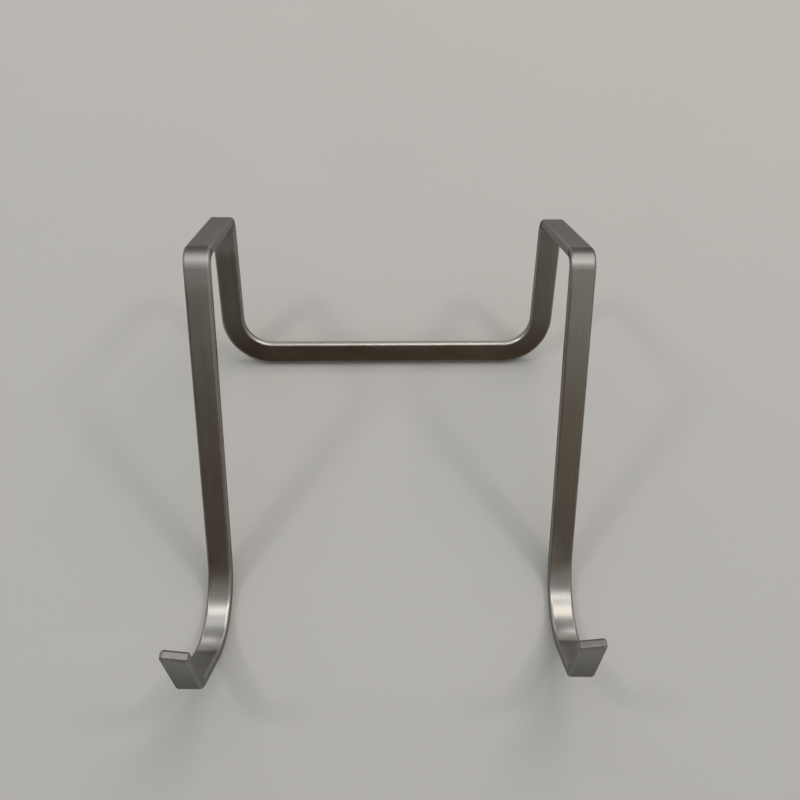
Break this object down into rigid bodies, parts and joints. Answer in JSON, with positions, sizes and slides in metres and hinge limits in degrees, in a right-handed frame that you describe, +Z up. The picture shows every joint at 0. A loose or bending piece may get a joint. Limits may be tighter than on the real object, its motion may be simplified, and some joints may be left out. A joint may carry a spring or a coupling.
{
  "type": "over-door hook",
  "caption": "Over-door hook bent from flat steel wire: bridges sit on the door's top edge, a U-shaped clip lies behind and upturned hooks stand out in front.",
  "frame": {"origin": "on the door's top edge: level with the undersides of the bridges, midway between them and across the slot", "axes": "+Z up as the hook hangs, +X to the right seen from the front, +Y towards the clip behind the door, hooks towards -Y, both turned about 3 degrees towards -X"},
  "size_m": [0.0635, 0.0598, 0.0619],
  "materials": {
    "flat_wire": "satin, fine lengthwise drawing marks, edges rubbed a little brighter"
  },
  "bodies": {
    "root": {"hook_strip": "flat_wire"}
  },
  "joints": []
}
